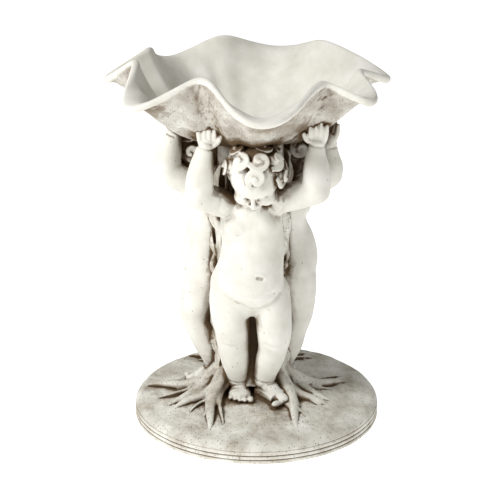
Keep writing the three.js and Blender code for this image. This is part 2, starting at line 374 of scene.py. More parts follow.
    def ring(self, place: Place, ahead: Place, radius: float, width: float, depth: float,
             start: float = 0, sweep: float = 360) -> None:
        """Presses a fold round a limb.

        Args:
            place: The limb's middle.
            ahead: The limb's direction.
            radius: About how thick the limb is there.
            width: How far from the fold it fades.
            depth: How deep the fold is.
            start: Where the fold begins, in degrees from across.
            sweep: How far round it goes, in degrees.
        """
        axis = Vector((ahead[0], ahead[1], ahead[2])).normalized()
        side = (Vector((1, 0, 0)) - axis * axis.x).normalized()
        other = side.cross(axis)
        path = []
        for step in range(13):
            angle = math.radians(start + sweep * step / 12)
            path.append(Vector(place) + (side * math.cos(angle) + other * math.sin(angle)) * radius)
        self.press(path, width, depth)


# ---------------------------------------------------------------------------- the bowl


@dataclass
class Bowl:
    """The ruffled bowl, one casting with a wall of even thickness."""

    x: float = -10
    y: float = 0
    thickness: float = 10
    bottom: float = 470
    handle: float = 48
    segments: int = 480
    rings: int = 160
    ruffles: tuple[tuple[float, float, float], ...] = (
        (5, 201, 551), (43, 157, 589), (59, 212, 560), (82, 170, 582), (99, 217, 557), (134, 168, 592),
        (168, 203, 563), (196, 168, 590), (220, 200, 558), (256, 166, 599), (270, 221, 566),
        (283, 180, 602), (302, 216, 552), (331, 147, 598))
    crest_heights: tuple[float, float] = (556, 592)
    lobe_slope: float = -24
    crest_slope: float = 68

    def edge(self, degrees: float) -> tuple[float, float, float]:
        """The lip at an azimuth: its radius, its height and how far it is towards a crest, 0 to 1."""
        azimuth = degrees % 360
        later = [i for i, (place, _, _) in enumerate(self.ruffles) if place > azimuth]
        nxt = later[0] if later else len(self.ruffles)
        start, end = self.ruffles[nxt - 1], self.ruffles[nxt % len(self.ruffles)]
        span = (end[0] - start[0]) % 360
        ease = (1 - math.cos(math.pi * ((azimuth - start[0]) % 360) / span)) / 2
        height = start[2] + (end[2] - start[2]) * ease
        return start[1] + (end[1] - start[1]) * ease, height, smoothstep(height, *self.crest_heights)

    def line(self, degrees: float) -> np.ndarray:
        """The four handles, in radius and height, of the curve along the middle of the wall."""
        radius, height, crest = self.edge(degrees)
        slope = math.radians(self.lobe_slope + (self.crest_slope - self.lobe_slope) * crest)
        return np.array([
            [0, self.bottom], [radius * 0.7, self.bottom - 4],
            [radius - self.handle * math.cos(slope), height - self.handle * math.sin(slope)],
            [radius, height]])

    def section(self, degrees: float, shares: np.ndarray, offset: np.ndarray, past: np.ndarray) -> np.ndarray:
        """Points beside the wall's middle line.

        Args:
            degrees: The section's azimuth.
            shares: How far along the line each point is, 0 to 1.
            offset: How far outwards of the line each point is.
            past: How far past its share each point is, along the line.

        Returns:
            Rows of radius and height.
        """
        a, b, c, d = self.line(degrees)
        t = shares[:, None]
        point = (1 - t) ** 3 * a + 3 * (1 - t) ** 2 * t * b + 3 * (1 - t) * t ** 2 * c + t ** 3 * d
        ahead = 3 * ((1 - t) ** 2 * (b - a) + 2 * (1 - t) * t * (c - b) + t ** 2 * (d - c))
        ahead[shares < 1e-6] = (1, 0)
        ahead /= np.linalg.norm(ahead, axis=1)[:, None]
        beside = np.stack([ahead[:, 1], -ahead[:, 0]], 1)
        return point + beside * offset[:, None] + ahead * past[:, None]

    def shell(self, name: str, segments: int, rings: int,
              profile: Callable[[float, np.ndarray], np.ndarray]) -> bpy.types.Object:
        """A sphere whose meridians take the shape of sections.

        Args:
            name: The object's name.
            segments: How many meridians it has.
            rings: How many rings it has.
            profile: From an azimuth and the rings' shares, outside bottom 0 to inside bottom 1, to
                rows of radius and height.

        Returns:
            The closed shell, about the bowl's axis.
        """
        deselect_all()
        bpy.ops.mesh.primitive_grid_add(x_subdivisions=segments, y_subdivisions=rings, size=2, location=(0, 0, 0))
        shell = bpy.context.object
        shell.name = name
        rows = coordinates(shell)
        shares = (rows[:, 1] + 1) / 2
        columns = np.round((rows[:, 0] + 1) / 2 * segments).astype(int)
        made = np.zeros_like(rows)
        for column in range(segments + 1):
            degrees = 360 * (column % segments) / segments
            mine = columns == column
            radius, height = profile(degrees, shares[mine]).T
            angle = math.radians(degrees)
            made[mine] = np.stack([self.x + radius * math.sin(angle), self.y - radius * math.cos(angle), height], 1)
        outside = shell.data.attributes.new("coarse", "FLOAT", "POINT")
        outside.data.foreach_set("value", np.clip((0.47 - shares) / 0.03, 0, 1).astype(np.float32))
        move_vertices(shell, made * MM)
        close_up(shell)
        return shell

    def wall(self, degrees: float, shares: np.ndarray) -> np.ndarray:
        """The wall's section: outside upwards, round a rolled lip and down the inside."""
        half = self.thickness / 2
        lip = 0.04
        outer = shares < 0.5 - lip
        inner = shares > 0.5 + lip
        turn = np.clip((shares - 0.5) / lip, -1, 1) * math.pi / 2
        along = np.where(outer, shares / (0.5 - lip), np.where(inner, (1 - shares) / (0.5 - lip), 1.0))
        along = 1 - (1 - along) ** 1.15
        _, _, crest = self.edge(degrees)
        swell = 1 + 0.22 * np.exp(-(((1 - along) / 0.05) ** 2))
        thick = half * swell
        offset = np.where(outer, thick, np.where(inner, -thick, -thick * np.sin(turn)))
        past = np.where(outer | inner, 0, thick * np.cos(turn) * 0.9)
        return self.section(degrees, along, offset, past)

    def room(self) -> bpy.types.Object:
        """All the space at and over the bowl's outer face, for cutting what reaches into it."""
        ceiling = 0.72 / MM

        def profile(degrees: float, shares: np.ndarray) -> np.ndarray:
            """The outer face, then up and across a flat ceiling."""
            along = np.clip(shares / 0.7, 0, 1)
            rows = self.section(degrees, along, np.full(len(along), self.thickness / 2 + 0.3), np.zeros(len(along)))
            over = shares > 0.7
            rim = self.section(degrees, np.ones(1), np.full(1, self.thickness / 2 + 0.3), np.zeros(1))[0]
            rows[over] = np.stack([rim[0] * (1 - shares[over]) / 0.3, np.full(over.sum(), ceiling)], 1)
            rows[shares < 1e-6, 0] = 0
            return rows

        return self.shell("bowl_room", 180, 60, profile)

    def build(self) -> bpy.types.Object:
        """Makes the bowl's casting, smooth inside and rough outside.

        Returns:
            The finished mesh.
        """
        shell = self.shell("basin_cast", self.segments, self.rings, self.wall)
        share = np.zeros(len(shell.data.vertices), np.float32)
        shell.data.attributes["coarse"].data.foreach_get("value", share)
        roughen(shell, ((60, 1.6), (9, 0.8), (4.2, 0.6)), share)
        roughen(shell, ((70, 1.0), (24, 0.4)), 1 - share)
        only(shell)
        bpy.ops.object.shade_smooth()
        LOG.info("bowl: %d triangles", triangle_count(shell))
        return shell


# ---------------------------------------------------------------------------- a cherub


@dataclass(frozen=True)
class Reach:
    """Where an arm's joints and palm are."""

    shoulder: Place
    elbow: Place
    wrist: Place
    palm: Place


@dataclass
class Cherub:
    """A plump standing cherub that carries the bowl on both hands, with its head bowed."""

    name: str
    azimuth: float
    right: Reach
    left: Reach
    seed: int
    torso: tuple[Place, ...] = (
        (-3, 68, 196, 30, 20), (-4, 65, 216, 50, 36), (-5, 66, 240, 60, 43), (-3, 71, 258, 57, 46),
        (1, 69, 281, 52, 45), (4, 62, 309, 50, 41), (2, 60, 342, 50, 37), (0, 64, 368, 47, 32),
        (1, 68, 388, 33, 25))
    torso_turn: float = 14
    straight_leg: tuple[Place, ...] = (
        (-26, 62, 262, 24, 28), (-30, 62, 236, 34, 39), (-32, 67, 202, 32.5, 34), (-29, 70, 168, 28, 28),
        (-27, 62, 140, 26, 26), (-24, 57, 112, 23.5, 25), (-21, 50, 88, 19, 20), (-19, 44, 64, 15.5, 16))
    bent_leg: tuple[Place, ...] = (
        (24, 62, 262, 24, 28), (28, 62, 236, 34, 39), (36, 73, 200, 30, 32), (38, 80, 165, 27.5, 26),
        (36, 71, 140, 24, 24.5), (31, 63, 116, 23, 24), (25, 56, 92, 19.5, 20), (21, 53, 66, 16, 16))
    head_centre: Place = (7, 93, 436)
    head_pitch: float = 45
    head_turn: float = -6
    skull: Place = (40, 43, 45)
    body_grain: float = 2.6
    skin_grain: float = 1.3
    most_triangles: int = 185000
    clay: Clay = field(init=False)

    def head_pose(self) -> Matrix:
        """Where the head's own frame stands in the cherub's."""
        return (Matrix.Translation(at(self.head_centre))
                @ Matrix.Rotation(math.radians(self.head_turn), 4, "Z")
                @ Matrix.Rotation(math.radians(self.head_pitch), 4, "X"))

    def trunk_and_legs(self) -> None:
        """Lays down the torso, the legs, the seat and the neck."""
        clay = self.clay
        clay.roll(self.torso, self.torso_turn, 5, 28)
        clay.ball((2, 74, 274), (45, 44, 34))
        for side in (-1, 1):
            clay.ball((side * 21 + 1, 78, 350), (23, 20, 22))
            clay.ball((side * 27 - 2, 40, 232), (29, 30, 33))
            clay.ball((side * 38 + 1, 68, 383), (20, 20, 18))
        clay.roll(self.straight_leg, 0, 5, 22)
        clay.roll(self.bent_leg, 0, 5, 22)
        clay.ball((-31, 88, 163), (14, 11, 14))
        clay.ball((37, 98, 167), (15, 10, 15))
        clay.ball((-27, 44, 118), (17, 14, 26))
        clay.ball((30, 48, 120), (17, 14, 26))
        clay.roll([(1, 64, 378, 24), (3, 76, 400, 22), (5, 84, 420, 24)], 0, 3, 18)

    def arm(self, reach: Reach) -> None:
        """Lays down one arm, from the shoulder to the wrist."""
        upper = [
            [*reach.shoulder, 23], [*mix(reach.shoulder, reach.elbow, 0.5), 22.5], [*reach.elbow, 21.5]]
        fore = [
            [*reach.elbow, 21], [*mix(reach.elbow, reach.wrist, 0.35), 22], [*mix(reach.elbow, reach.wrist, 0.66), 20],
            [*mix(reach.elbow, reach.wrist, 0.92), 16], [*mix(reach.wrist, reach.palm, 0.45), 13.5],
            [*reach.palm, 13]]
        self.clay.roll(upper, 0, 4, 18)
        self.clay.roll(fore, 0, 4, 18)
        self.clay.ball(reach.elbow, (21, 21, 21))

    def skull_mass(self) -> None:
        """Lays down the masses of the head, before any feature."""
        clay = self.clay
        clay.pose = self.head_pose()
        clay.ball((0, -3, 5), self.skull, fine=12)
        clay.ball((0, 12, -15), (32, 30, 31))
        clay.ball((0, 21, 12), (30, 22, 24))
        for side in (-1, 1):
            clay.ball((side * 17, 26, -20), (16, 14, 15))
        clay.ball((0, 31, -40), (10, 10, 9))
        clay.pose = Matrix.Identity(4)

    def features(self) -> None:
        """Adds the features of a calm, plain face with its eyes cast down."""
        clay = self.clay
        clay.pose = self.head_pose()
        for side in (-1, 1):
            clay.ball((side * 14, 35, -4), (8, 7.5, 6.5))
            clay.ball((side * 5.2, 42.5, -16), (3.4, 3.6, 3.2))
            clay.ball((side * 38, -2, -6), (5, 9, 12), (0, 0, side * 20))
        clay.roll([(0, 40, 4, 3.4), (0, 44, -5, 3.6), (0, 46.5, -13, 5)], 0, 3, 12)
        clay.ball((0, 46.5, -14.5), (5, 4.6, 4.4))
        clay.roll([(-9.5, 37.5, -26, 1.8, 2), (-4, 41, -24, 2.8, 3), (0, 41.5, -25, 2.6, 2.8),
                   (4, 41, -24, 2.8, 3), (9.5, 37.5, -26, 1.8, 2)], 0, 3, 10)
        clay.roll([(-7.5, 38, -29, 2, 2), (0, 40.5, -30.5, 3.6, 3.2), (7.5, 38, -29, 2, 2)], 0, 3, 10)
        clay.pose = Matrix.Identity(4)

    def face_lines(self) -> None:
        """Presses the eyes, the nostrils, the mouth and the folds of the cheeks."""
        clay = self.clay
        clay.pose = self.head_pose()
        for side in (-1, 1):
            clay.press([(side * 6, 41, 4), (side * 14, 43, 5.5), (side * 22, 38, 2)], 3.2, -1.1)
            clay.press([(side * 6.5, 38, 0.5), (side * 14, 43, 2.2), (side * 22.5, 37, -2)], 1.6, 1.3)
            clay.press([(side * 7, 39, -6), (side * 14, 43, -8.6), (side * 21.5, 38, -5.5)], 1.1, 1.5)
            clay.press([(side * 3, 45, -18.5), (side * 3.4, 44, -18)], 1.5, 2)
            clay.press([(side * 8.5, 41, -14), (side * 12, 39, -20), (side * 12.5, 37, -26)], 2.2, 0.8)
        clay.press([(-9.5, 39, -27), (-4, 43, -27.2), (0, 44, -27.8), (4, 43, -27.2), (9.5, 39, -27)], 1.2, 1.9)
        clay.press([(-6, 39, -35), (0, 40, -35.5), (6, 39, -35)], 2.4, 1.2)
        clay.pose = Matrix.Identity(4)

    def scalp(self, direction: Vector) -> bool:
        """Whether hair grows in a direction of the head's frame, with y forwards."""
        return direction.y - 0.42 * direction.z < 0.36 and direction.z > -0.62 + 0.35 * direction.y

    def hair(self) -> None:
        """Lays curls over the scalp: each one a flat spiral of three strands with a tail."""
        clay = self.clay
        clay.pose = self.head_pose()
        rng = np.random.default_rng(self.seed)
        tubes = []
        locks = 30
        for i in range(locks):
            height = 1 - 2 * (i + 0.5) / locks
            angle = i * GOLDEN_ANGLE + 0.4
            level = math.sqrt(1 - height * height)
            out = Vector((level * math.cos(angle), level * math.sin(angle), height))
            if not self.scalp(out):
                continue
            tubes += self.curl(out, rng)
            root = Vector([out[k] * (self.skull[k] - 3) for k in range(3)]) + Vector((0, -3, 5))
            clay.ball(root, (12.5, 12.5, 12.5), fine=5)
        clay.strands(tubes)
        clay.pose = Matrix.Identity(4)

    def curl(self, out: Vector, rng: np.random.Generator) -> list[np.ndarray]:
        """The strands of one curl.

        Args:
            out: The direction from the head's middle, with y forwards.
            rng: The source of the small differences between curls.

        Returns:
            Rows of place and radius for each strand, in the head's frame.
        """
        root = Vector([out[k] * self.skull[k] for k in range(3)]) + Vector((0, -3, 5))
        down = (Vector((0, 0, -1)) - out * -out.z).normalized()
        side = out.cross(down)
        hand = rng.choice((-1.0, 1.0))
        first = rng.uniform(-0.7, 0.7)
        size = rng.uniform(11.5, 14.5)
        turns = rng.uniform(1.0, 1.45)
        strands = []
        for lane in (-1, 0, 1):
            rows = []
            for share in np.linspace(-0.22, 1, 26):
                spiral = max(share, 0)
                angle = first + hand * 2 * math.pi * turns * spiral
                away = size * (1 - spiral) ** 0.8 + 0.6 + lane * 2.9 * (1 - 0.5 * spiral)
                tail = min(share, 0) * -58
                lift = 3.5 + 8 * spiral ** 0.8 - 9 * min(share, 0) ** 2 * 8
                spot = (root + (down * math.sin(angle) + side * math.cos(angle)) * max(away, 0.3)
                        - (side * math.sin(first) * -hand + down * math.cos(first) * hand) * tail + out * lift)
                rows.append([*spot, 2.4 * (1 - 0.2 * spiral) * (1 + 1.6 * min(share, 0))])
            strands.append(np.array(rows))
        return strands

    def hand(self, reach: Reach, side: Side) -> None:
        """Adds a palm with four fingers and a thumb that bear the bowl."""
        clay = self.clay
        u, v, z = reach.palm
        inwards = -side.value
        clay.ball((u, v + 1, z + 1), (15, 8.5, 13))
        for place, length in ((-1.5, 25), (-0.5, 29), (0.5, 28), (1.5, 23)):
            root = (u + place * 7.3, v + 3, z + 2)
            clay.roll([(*root, 4.2), (u + place * 8.1, v + 8, z + length * 0.55, 4.3),
                       (u + place * 8.6, v + 9, z + length, 3.6)], 0, 3, 12)
            clay.ball((u + place * 8.6, v + 9, z + length), (3.6, 3.6, 4.2), fine=6)
        clay.roll([(u + inwards * 8, v + 2, z - 6, 5.4), (u + inwards * 17, v + 6, z + 2, 5),
                   (u + inwards * 22, v + 8, z + 11, 4)], 0, 3, 12)
        clay.ball((u + inwards * 22, v + 8, z + 11), (4, 4, 4.6), fine=6)

    def foot(self, heel: Place, ball: Place, turn: float, side: Side) -> None:
        """Adds a plump foot.

        Args:
            heel: Middle of the heel.
            ball: Middle of the foot behind the toes.
            turn: Degrees that the foot points away from straight ahead, towards +across.
            side: Which foot it is.
        """
        clay = self.clay
        angle = math.radians(turn)
        ahead = (math.sin(angle), math.cos(angle))
        beside = (math.cos(angle), -math.sin(angle))
        clay.roll([(*heel, 14.5, 13), (*mix(heel, ball, 0.5), 15.5, 13), (*ball, 19, 11)], -turn, 4, 18)
        clay.roll([(heel[0] + ahead[0] * 9, heel[1] + ahead[1] * 9, 74, 14.5), (*mix(heel, ball, 0.75)[:2], 60, 13, 10),
                   (*ball[:2], 56, 15, 8)], -turn, 4, 16)
        clay.ball(ball, (19, 11, 9.5), (0, 0, turn))
        for place in (-2, -1, 0, 1, 2):
            big = place * side.value == -2
            size = 6.4 if big else 4.9 - 0.35 * (place * side.value)
            reach = 11.5 - abs(place) * 1.2 - place * side.value * 1.6
            across = place * 8 + (1.5 * place / 2 if big else 0)
            u = ball[0] + beside[0] * across + ahead[0] * reach
            v = ball[1] + beside[1] * across + ahead[1] * reach
            clay.ball((u, v, ball[2] - 3.5 + (1 if big else 0)), (size * 0.86, size * 1.5, size * 0.9),
                      (-8, 0, turn), fine=7)

    def folds(self) -> None:
        """Presses the navel, the groins, the belly's line, and the folds of knees, ankles and wrists."""
        clay = self.clay
        clay.press([(12, 116, 275.5), (19, 115, 274)], 2.6, 3.6)
        clay.press([(10, 118, 281), (16, 118, 282), (23, 115, 279)], 2.6, -0.8)
        clay.press([(-34, 96, 243), (-14, 108, 224), (6, 108, 212), (24, 106, 224), (44, 92, 243)], 3.4, 2.8)
        clay.press([(-24, 112, 246), (6, 116, 241), (38, 108, 247)], 3.6, 1.5)
        clay.press([(2, 100, 366), (3, 100, 340), (5, 105, 305)], 7, 0.9)
        for reach, side in ((self.right, -1), (self.left, 1)):
            ahead = Vector(reach.palm) - Vector(reach.wrist)
            clay.ring(mix(reach.wrist, reach.palm, 0.55), ahead, 14, 1.6, 1.8, 150, 240)
            clay.press([(side * 46, 96, 372), (side * 50, 92, 386), (side * 52, 86, 398)], 3, 1.4)
        clay.ring((-20, 46, 76), (0, 0.1, 1), 18, 1.7, 1.7, 150, 240)
        clay.ring((22, 54, 78), (0.2, 0.1, 1), 18, 1.7, 1.7, 150, 240)
        clay.press([(-42, 92, 152), (-31, 97, 148), (-20, 93, 152)], 3.4, 1.3)
        clay.press([(24, 100, 156), (36, 106, 151), (48, 99, 156)], 3.4, 1.6)

    def build(self, room: bpy.types.Object, shift: Place) -> bpy.types.Object:
        """Models the whole cherub and stands it at its azimuth.

        Args:
            room: The space that the bowl takes, in the object's frame.
            shift: Where the trunk's axis stands, x, y and z.

        Returns:
            The finished mesh.
        """
        self.clay = Clay(self.name + "_body")
        self.trunk_and_legs()
        self.arm(self.right)
        self.arm(self.left)
        self.skull_mass()
        self.clay.knead(self.body_grain, 14)
        body = self.clay.lump
        self.clay = Clay(self.name + "_cast")
        self.features()
        self.hand(self.right, Side.RIGHT)
        self.hand(self.left, Side.LEFT)
        self.foot((-17, 30, 56), (-17, 66, 54), -2, Side.RIGHT)
        self.foot((16, 46, 56), (46, 76, 54), 42, Side.LEFT)
        self.hair()
        self.clay.add(body)
        self.clay.knead(self.skin_grain, 2)
        self.folds()
        self.face_lines()
        cherub = self.clay.lump
        cherub.name = self.name
        settle(cherub, self.azimuth, shift)
        apply_modifier(cherub, "BOOLEAN", operation="DIFFERENCE", object=room, solver="MANIFOLD")
        thin_out(cherub, self.most_triangles)
        only(cherub)
        bpy.ops.object.shade_smooth()
        LOG.info("%s: %d triangles", self.name, triangle_count(cherub))
        return cherub


# ---------------------------------------------------------------------------- plinth and trunk


@dataclass
class Plinth:
    """The round reeded plinth with rough ground on it, and the trunk that grows out of it."""

    radius: float = 200
    reed_pitch: float = 7
    reeds: int = 3
    groove: float = 1.8
    shoulder: float = 188
    rim_height: float = 32.5
    mound_height: float = 50
    segments: int = 360
    group_x: float = -10
    group_y: float = 8

    def ground(self, radius: float) -> float:
        """Height of the ground at a radius from the plinth's middle."""
        fall = min(radius / self.shoulder, 1)
        return self.rim_height + (self.mound_height - self.rim_height) * (1 - fall ** 1.7)

    def profile(self) -> list[tuple[float, float]]:
        """The plinth's section from the middle of its underside round to the middle of its ground."""
        rows = [(0, 0), (self.radius * 0.5, 0), (self.radius - 2, 0)]
        for reed in range(self.reeds):
            low = reed * self.reed_pitch
            for step in range(9):
                angle = math.pi * (step / 8 - 0.5)
                rise = low + self.reed_pitch * (0.5 + 0.46 * math.sin(angle))
                rows.append((self.radius - self.groove * (1 - math.cos(angle) ** 0.6), rise))
        top = self.reeds * self.reed_pitch
        rows += [(self.radius - self.groove, top + 0.6), (self.radius - 1.2, top + 2.4),
                 (self.shoulder + 7, self.rim_height - 4), (self.shoulder + 3, self.rim_height - 1.2)]
        for share in np.linspace(1, 0, 80):
            rows.append((self.shoulder * share, self.ground(self.shoulder * share)))
        return rows

    def base(self) -> bpy.types.Object:
        """Spins the plinth's section into a closed round."""
        deselect_all()
        bpy.ops.object.add(type="MESH")
        base = bpy.context.object
        base.name = "plinth_base"
        rows = self.profile()
        mesh = base.data
        mesh.from_pydata([(r * MM, 0, z * MM) for r, z in rows], [(i, i + 1) for i in range(len(rows) - 1)], [])
        bpy.ops.object.mode_set(mode="EDIT")
        bpy.ops.mesh.select_all(action="SELECT")
        bpy.ops.mesh.spin(steps=self.segments, angle=2 * math.pi, center=(0, 0, 0), axis=(0, 0, 1))
        bpy.ops.object.mode_set(mode="OBJECT")
        close_up(base)
        rows = coordinates(base)
        radii = np.hypot(rows[:, 0], rows[:, 1]) / MM
        share = np.clip((rows[:, 2] / MM - 24) / 4, 0, 1) * np.clip((self.radius - 4 - radii) / 8, 0, 1)
        roughen(base, ((46, 2.2), (17, 1.5), (6, 0.7), (2.6, 0.5)), share)
        return base


@dataclass
class Trunk:
    """The trunk between the cherubs, with the roots, stems, leaves and berry in its three gaps."""

    plinth: Plinth
    foot: float = 62
    waist: float = 44
    head: float = 52
    top: float = 474
    gaps: tuple[float, ...] = (60, 180, 300)
    grain: float = 1.7
    most_triangles: int = 108000
    clay: Clay = field(init=False)

    def column(self) -> None:
        """Lays down the trunk itself."""
        self.clay.roll([(0, 0, self.foot + 4, self.foot), (0, 0, 110, self.waist + 4), (0, 0, 200, self.waist),
                        (0, 0, 330, self.waist), (0, 0, self.top - 50, self.head), (0, 0, self.top, self.head)], 0, 4, 40)

    def root(self, offset: float, bend: float, reach: float, size: float, lift: float) -> None:
        """Lays down one root that runs out over the ground.

        Args:
            offset: Its direction in degrees from the middle of the gap.
            bend: How far it swings aside on its way.
            reach: How far out it ends.
            size: Its half width at the trunk.
            lift: How high up the trunk it starts.
        """
        rows = []
        for share, girth, rise in ((0.2, 0.85, lift), (0.42, 1, lift * 0.36), (0.62, 0.8, 6), (0.8, 0.58, 3.5),
                                   (0.92, 0.4, 1.5), (1, 0.2, -1)):
            angle = math.radians(offset * (0.3 + 0.8 * share) + bend * math.sin(share * math.pi * 1.6))
            radius = reach * share
            rows.append((radius * math.sin(angle), radius * math.cos(angle),
                         self.plinth.ground(radius) + rise, size * girth, size * girth * 0.85))
        self.clay.roll(rows, 0, 4, 10)

    def roots(self, rng: np.random.Generator) -> None:
        """Lays the roots of one gap: stout ones, thin ones between them, and a stone."""
        for i, offset in enumerate((-25, -7, 11, 29)):
            self.root(offset, 7 if i % 2 == 0 else -6, 158 + 12 * math.cos(i * 2.1), 12.5, 62)
        for offset in (-34, -29, -20, -14, -2, 4, 18, 23, 35):
            self.root(offset, rng.uniform(-9, 9), rng.uniform(118, 165), rng.uniform(5, 7.5), rng.uniform(34, 60))
        self.clay.ball((-9, 66, 56), (15, 14, 14), (0, 0, 20))

    def around(self, angle: float, radius: float, height: float) -> tuple[float, float, float]:
        """A place beside the trunk at an angle from the middle of the gap."""
        return (radius * math.sin(math.radians(angle)), radius * math.cos(math.radians(angle)), height)

    def leaf(self, angle: float, low: float, length: float, lean: float, radius: float) -> list[np.ndarray]:
        """Lays down the blade of a long pointed leaf.

        Args:
            angle: Where its middle is, in degrees from the middle of the gap.
            low: Height of its lower tip.
            length: How long it is.
            lean: How many degrees its upper tip lies aside of its lower one.
            radius: How far from the trunk's axis its tips are.

        Returns:
            Strands for its raised rim and its midrib.
        """
        shares = np.linspace(0, 1, 9)
        widths = [0.9 + 6.6 * math.sin(math.pi * share ** 0.85) for share in shares]
        spots = [self.around(angle + lean * (share - 0.5), radius + 5 * math.sin(math.pi * share), low + length * share)
                 for share in shares]
        self.clay.roll([(*spot, width, 1.5) for spot, width in zip(spots, widths)], 0, 2, 12)
        slope = math.atan2(radius * math.radians(lean), length)
        rims = []
        for edge in (-1, 0, 1):
            rims.append(np.array([
                (spot[0] + edge * width * math.cos(slope), spot[1] + 1.3, spot[2] - edge * width * math.sin(slope),
                 1.5 if edge else 1.0) for spot, width in zip(spots, widths)]))
        return rims

    def vines(self, rng: np.random.Generator) -> None:
        """Lays the climbing stems, leaves and berries of one gap."""
        clay = self.clay
        for start, swing, size, phase in ((-8, 8, 6.5, 0.4), (9, 8, 6, 2.2), (1, 15, 4.2, 1.1), (-14, 9, 4, 3.0),
                                          (15, 8, 4, 4.4)):
            rows = [(*self.around(start + swing * math.sin(i * 1.15 + phase), 57 + 2.5 * math.sin(i * 1.9 + phase), z), size)
                    for i, z in enumerate(range(66, 440, 40))]
            clay.roll(rows, 0, 4, 10)
        tubes = []
        for i, low in enumerate(range(84, 400, 22)):
            side = -1 if i % 2 else 1
            angle = side * rng.uniform(4, 15)
            tubes += self.leaf(angle, low, rng.uniform(36, 52), side * rng.uniform(4, 18), rng.uniform(58, 62))
        clay.strands(tubes, 1)
        for angle, height, size in ((-4, 268, 6.8), (6, 205, 4.6), (-8, 130, 5), (5, 350, 5)):
            clay.ball(self.around(angle, 65, height), (size, size, size), fine=6)

    def build(self, base: bpy.types.Object, room: bpy.types.Object, shift: Place) -> bpy.types.Object:
        """Models trunk, roots and vines and joins them to the plinth.

        Args:
            base: The plinth's mesh, which the rest is joined to.
            room: The space that the bowl takes.
            shift: Where the trunk's axis stands, x, y and z.

        Returns:
            The plinth with all that grows on it, as one closed mesh.
        """
        self.clay = Clay("growth")
        self.column()
        rng = np.random.default_rng(11)
        for gap in self.gaps:
            self.clay.pose = Matrix.Rotation(math.radians(gap), 4, "Z")
            self.roots(rng)
            self.vines(rng)
        self.clay.knead(self.grain, 1)
        growth = self.clay.lump
        settle(growth, 0, shift)
        apply_modifier(growth, "BOOLEAN", operation="DIFFERENCE", object=room, solver="MANIFOLD")
        thin_out(growth, self.most_triangles)
        apply_modifier(base, "BOOLEAN", operation="UNION", object=growth, solver="MANIFOLD")
        bpy.data.objects.remove(growth)
        base.name = "plinth_and_trunk"
        only(base)
        bpy.ops.object.shade_smooth_by_angle(angle=math.radians(40))
        LOG.info("plinth and trunk: %d triangles", triangle_count(base))
        return base


# ---------------------------------------------------------------------------- painted shade and wash


def mark_shade_and_wash(pieces: Sequence[bpy.types.Object], reach: float = 60, rays: int = 7) -> None:
    """Stores on each vertex, as a float attribute, how deep it lies among its surroundings: the mask of painted shade
    where little light gets in, and of the brown wash that settles in the hollows.

    Args:
        pieces: All the pieces, which shelter each other.
        reach: How near a surface has to be to give shelter.
        rays: How many directions are tried from each vertex.
    """
    deselect_all()
    copies = []
    for piece in pieces:
        copy = bpy.data.objects.new("shelter", piece.data.copy())
        bpy.context.scene.collection.objects.link(copy)
        copies.append(copy)
    only(*copies)
    bpy.ops.object.join()
    shelter = bpy.context.object
    bpy.context.view_layer.update()
    tree = BVHTree.FromObject(shelter, bpy.context.evaluated_depsgraph_get())
    fan = []
    for i in range(rays):
        height = math.sqrt(1 - (i + 0.5) / rays)
        fan.append((math.sqrt(1 - height * height), i * GOLDEN_ANGLE, height))
    for piece in pieces:
        rows, ups = coordinates(piece), normals(piece)
        helper = np.where(np.abs(ups[:, 2:3]) < 0.9, [[0.0, 0, 1]], [[1.0, 0, 0]])
        side = np.cross(helper, ups)
        side /= np.linalg.norm(side, axis=1)[:, None] + 1e-9
        other = np.cross(ups, side)
        total = np.zeros(len(rows))
        starts = (rows + ups * 0.6 * MM).tolist()
        for level, angle, height in fan:
            ways = (side * (level * math.cos(angle)) + other * (level * math.sin(angle)) + ups * height).tolist()
            for i, (start, way) in enumerate(zip(starts, ways)):
                away = tree.ray_cast(start, way, reach * MM)[3]
                if away is not None:
                    total[i] += 1 - away / (reach * MM)
        painted_shade_and_wash = piece.data.attributes.new("painted_shade_and_wash", "FLOAT", "POINT")
        painted_shade_and_wash.data.foreach_set("value", (total / rays).astype(np.float32))
    bpy.data.objects.remove(shelter)


# ---------------------------------------------------------------------------- finishes


def node_group(name: str, inputs: Sequence[tuple[str, str, object]],
               outputs: Sequence[tuple[str, str]]) -> bpy.types.NodeTree:
    """Starts a shader node group.

    Args:
        name: The group's name.
        inputs: Name, socket type and default of each input.
        outputs: Name and socket type of each output.

    Returns:
        The group, with its two end nodes in it.
    """
    group = bpy.data.node_groups.new(name, "ShaderNodeTree")
    for label, kind, default in inputs:
        socket = group.interface.new_socket(label, in_out="INPUT", socket_type=kind)
        if default is not None:
            socket.default_value = default
    for label, kind in outputs:
        group.interface.new_socket(label, in_out="OUTPUT", socket_type=kind)
    group.nodes.new("NodeGroupInput")
    group.nodes.new("NodeGroupOutput")
    return group


def add_node(tree: bpy.types.NodeTree, kind: str, links: dict[str, object], **settings: object) -> bpy.types.Node:
    """Adds a node to a tree.

    Args:
        tree: The material's or group's tree.
        kind: The node's type.
        links: For each input, the socket to link to it or the value to give it.
        settings: The node's own properties.

    Returns:
        The new node.
    """
    node = tree.nodes.new(kind)
    for key, value in settings.items():
        setattr(node, key, value)
    for key, value in links.items():
        socket = node.inputs[int(key)] if key.isdigit() else node.inputs[key]
        if isinstance(value, bpy.types.NodeSocket):
            tree.links.new(value, socket)
        else:
            socket.default_value = value
    return node


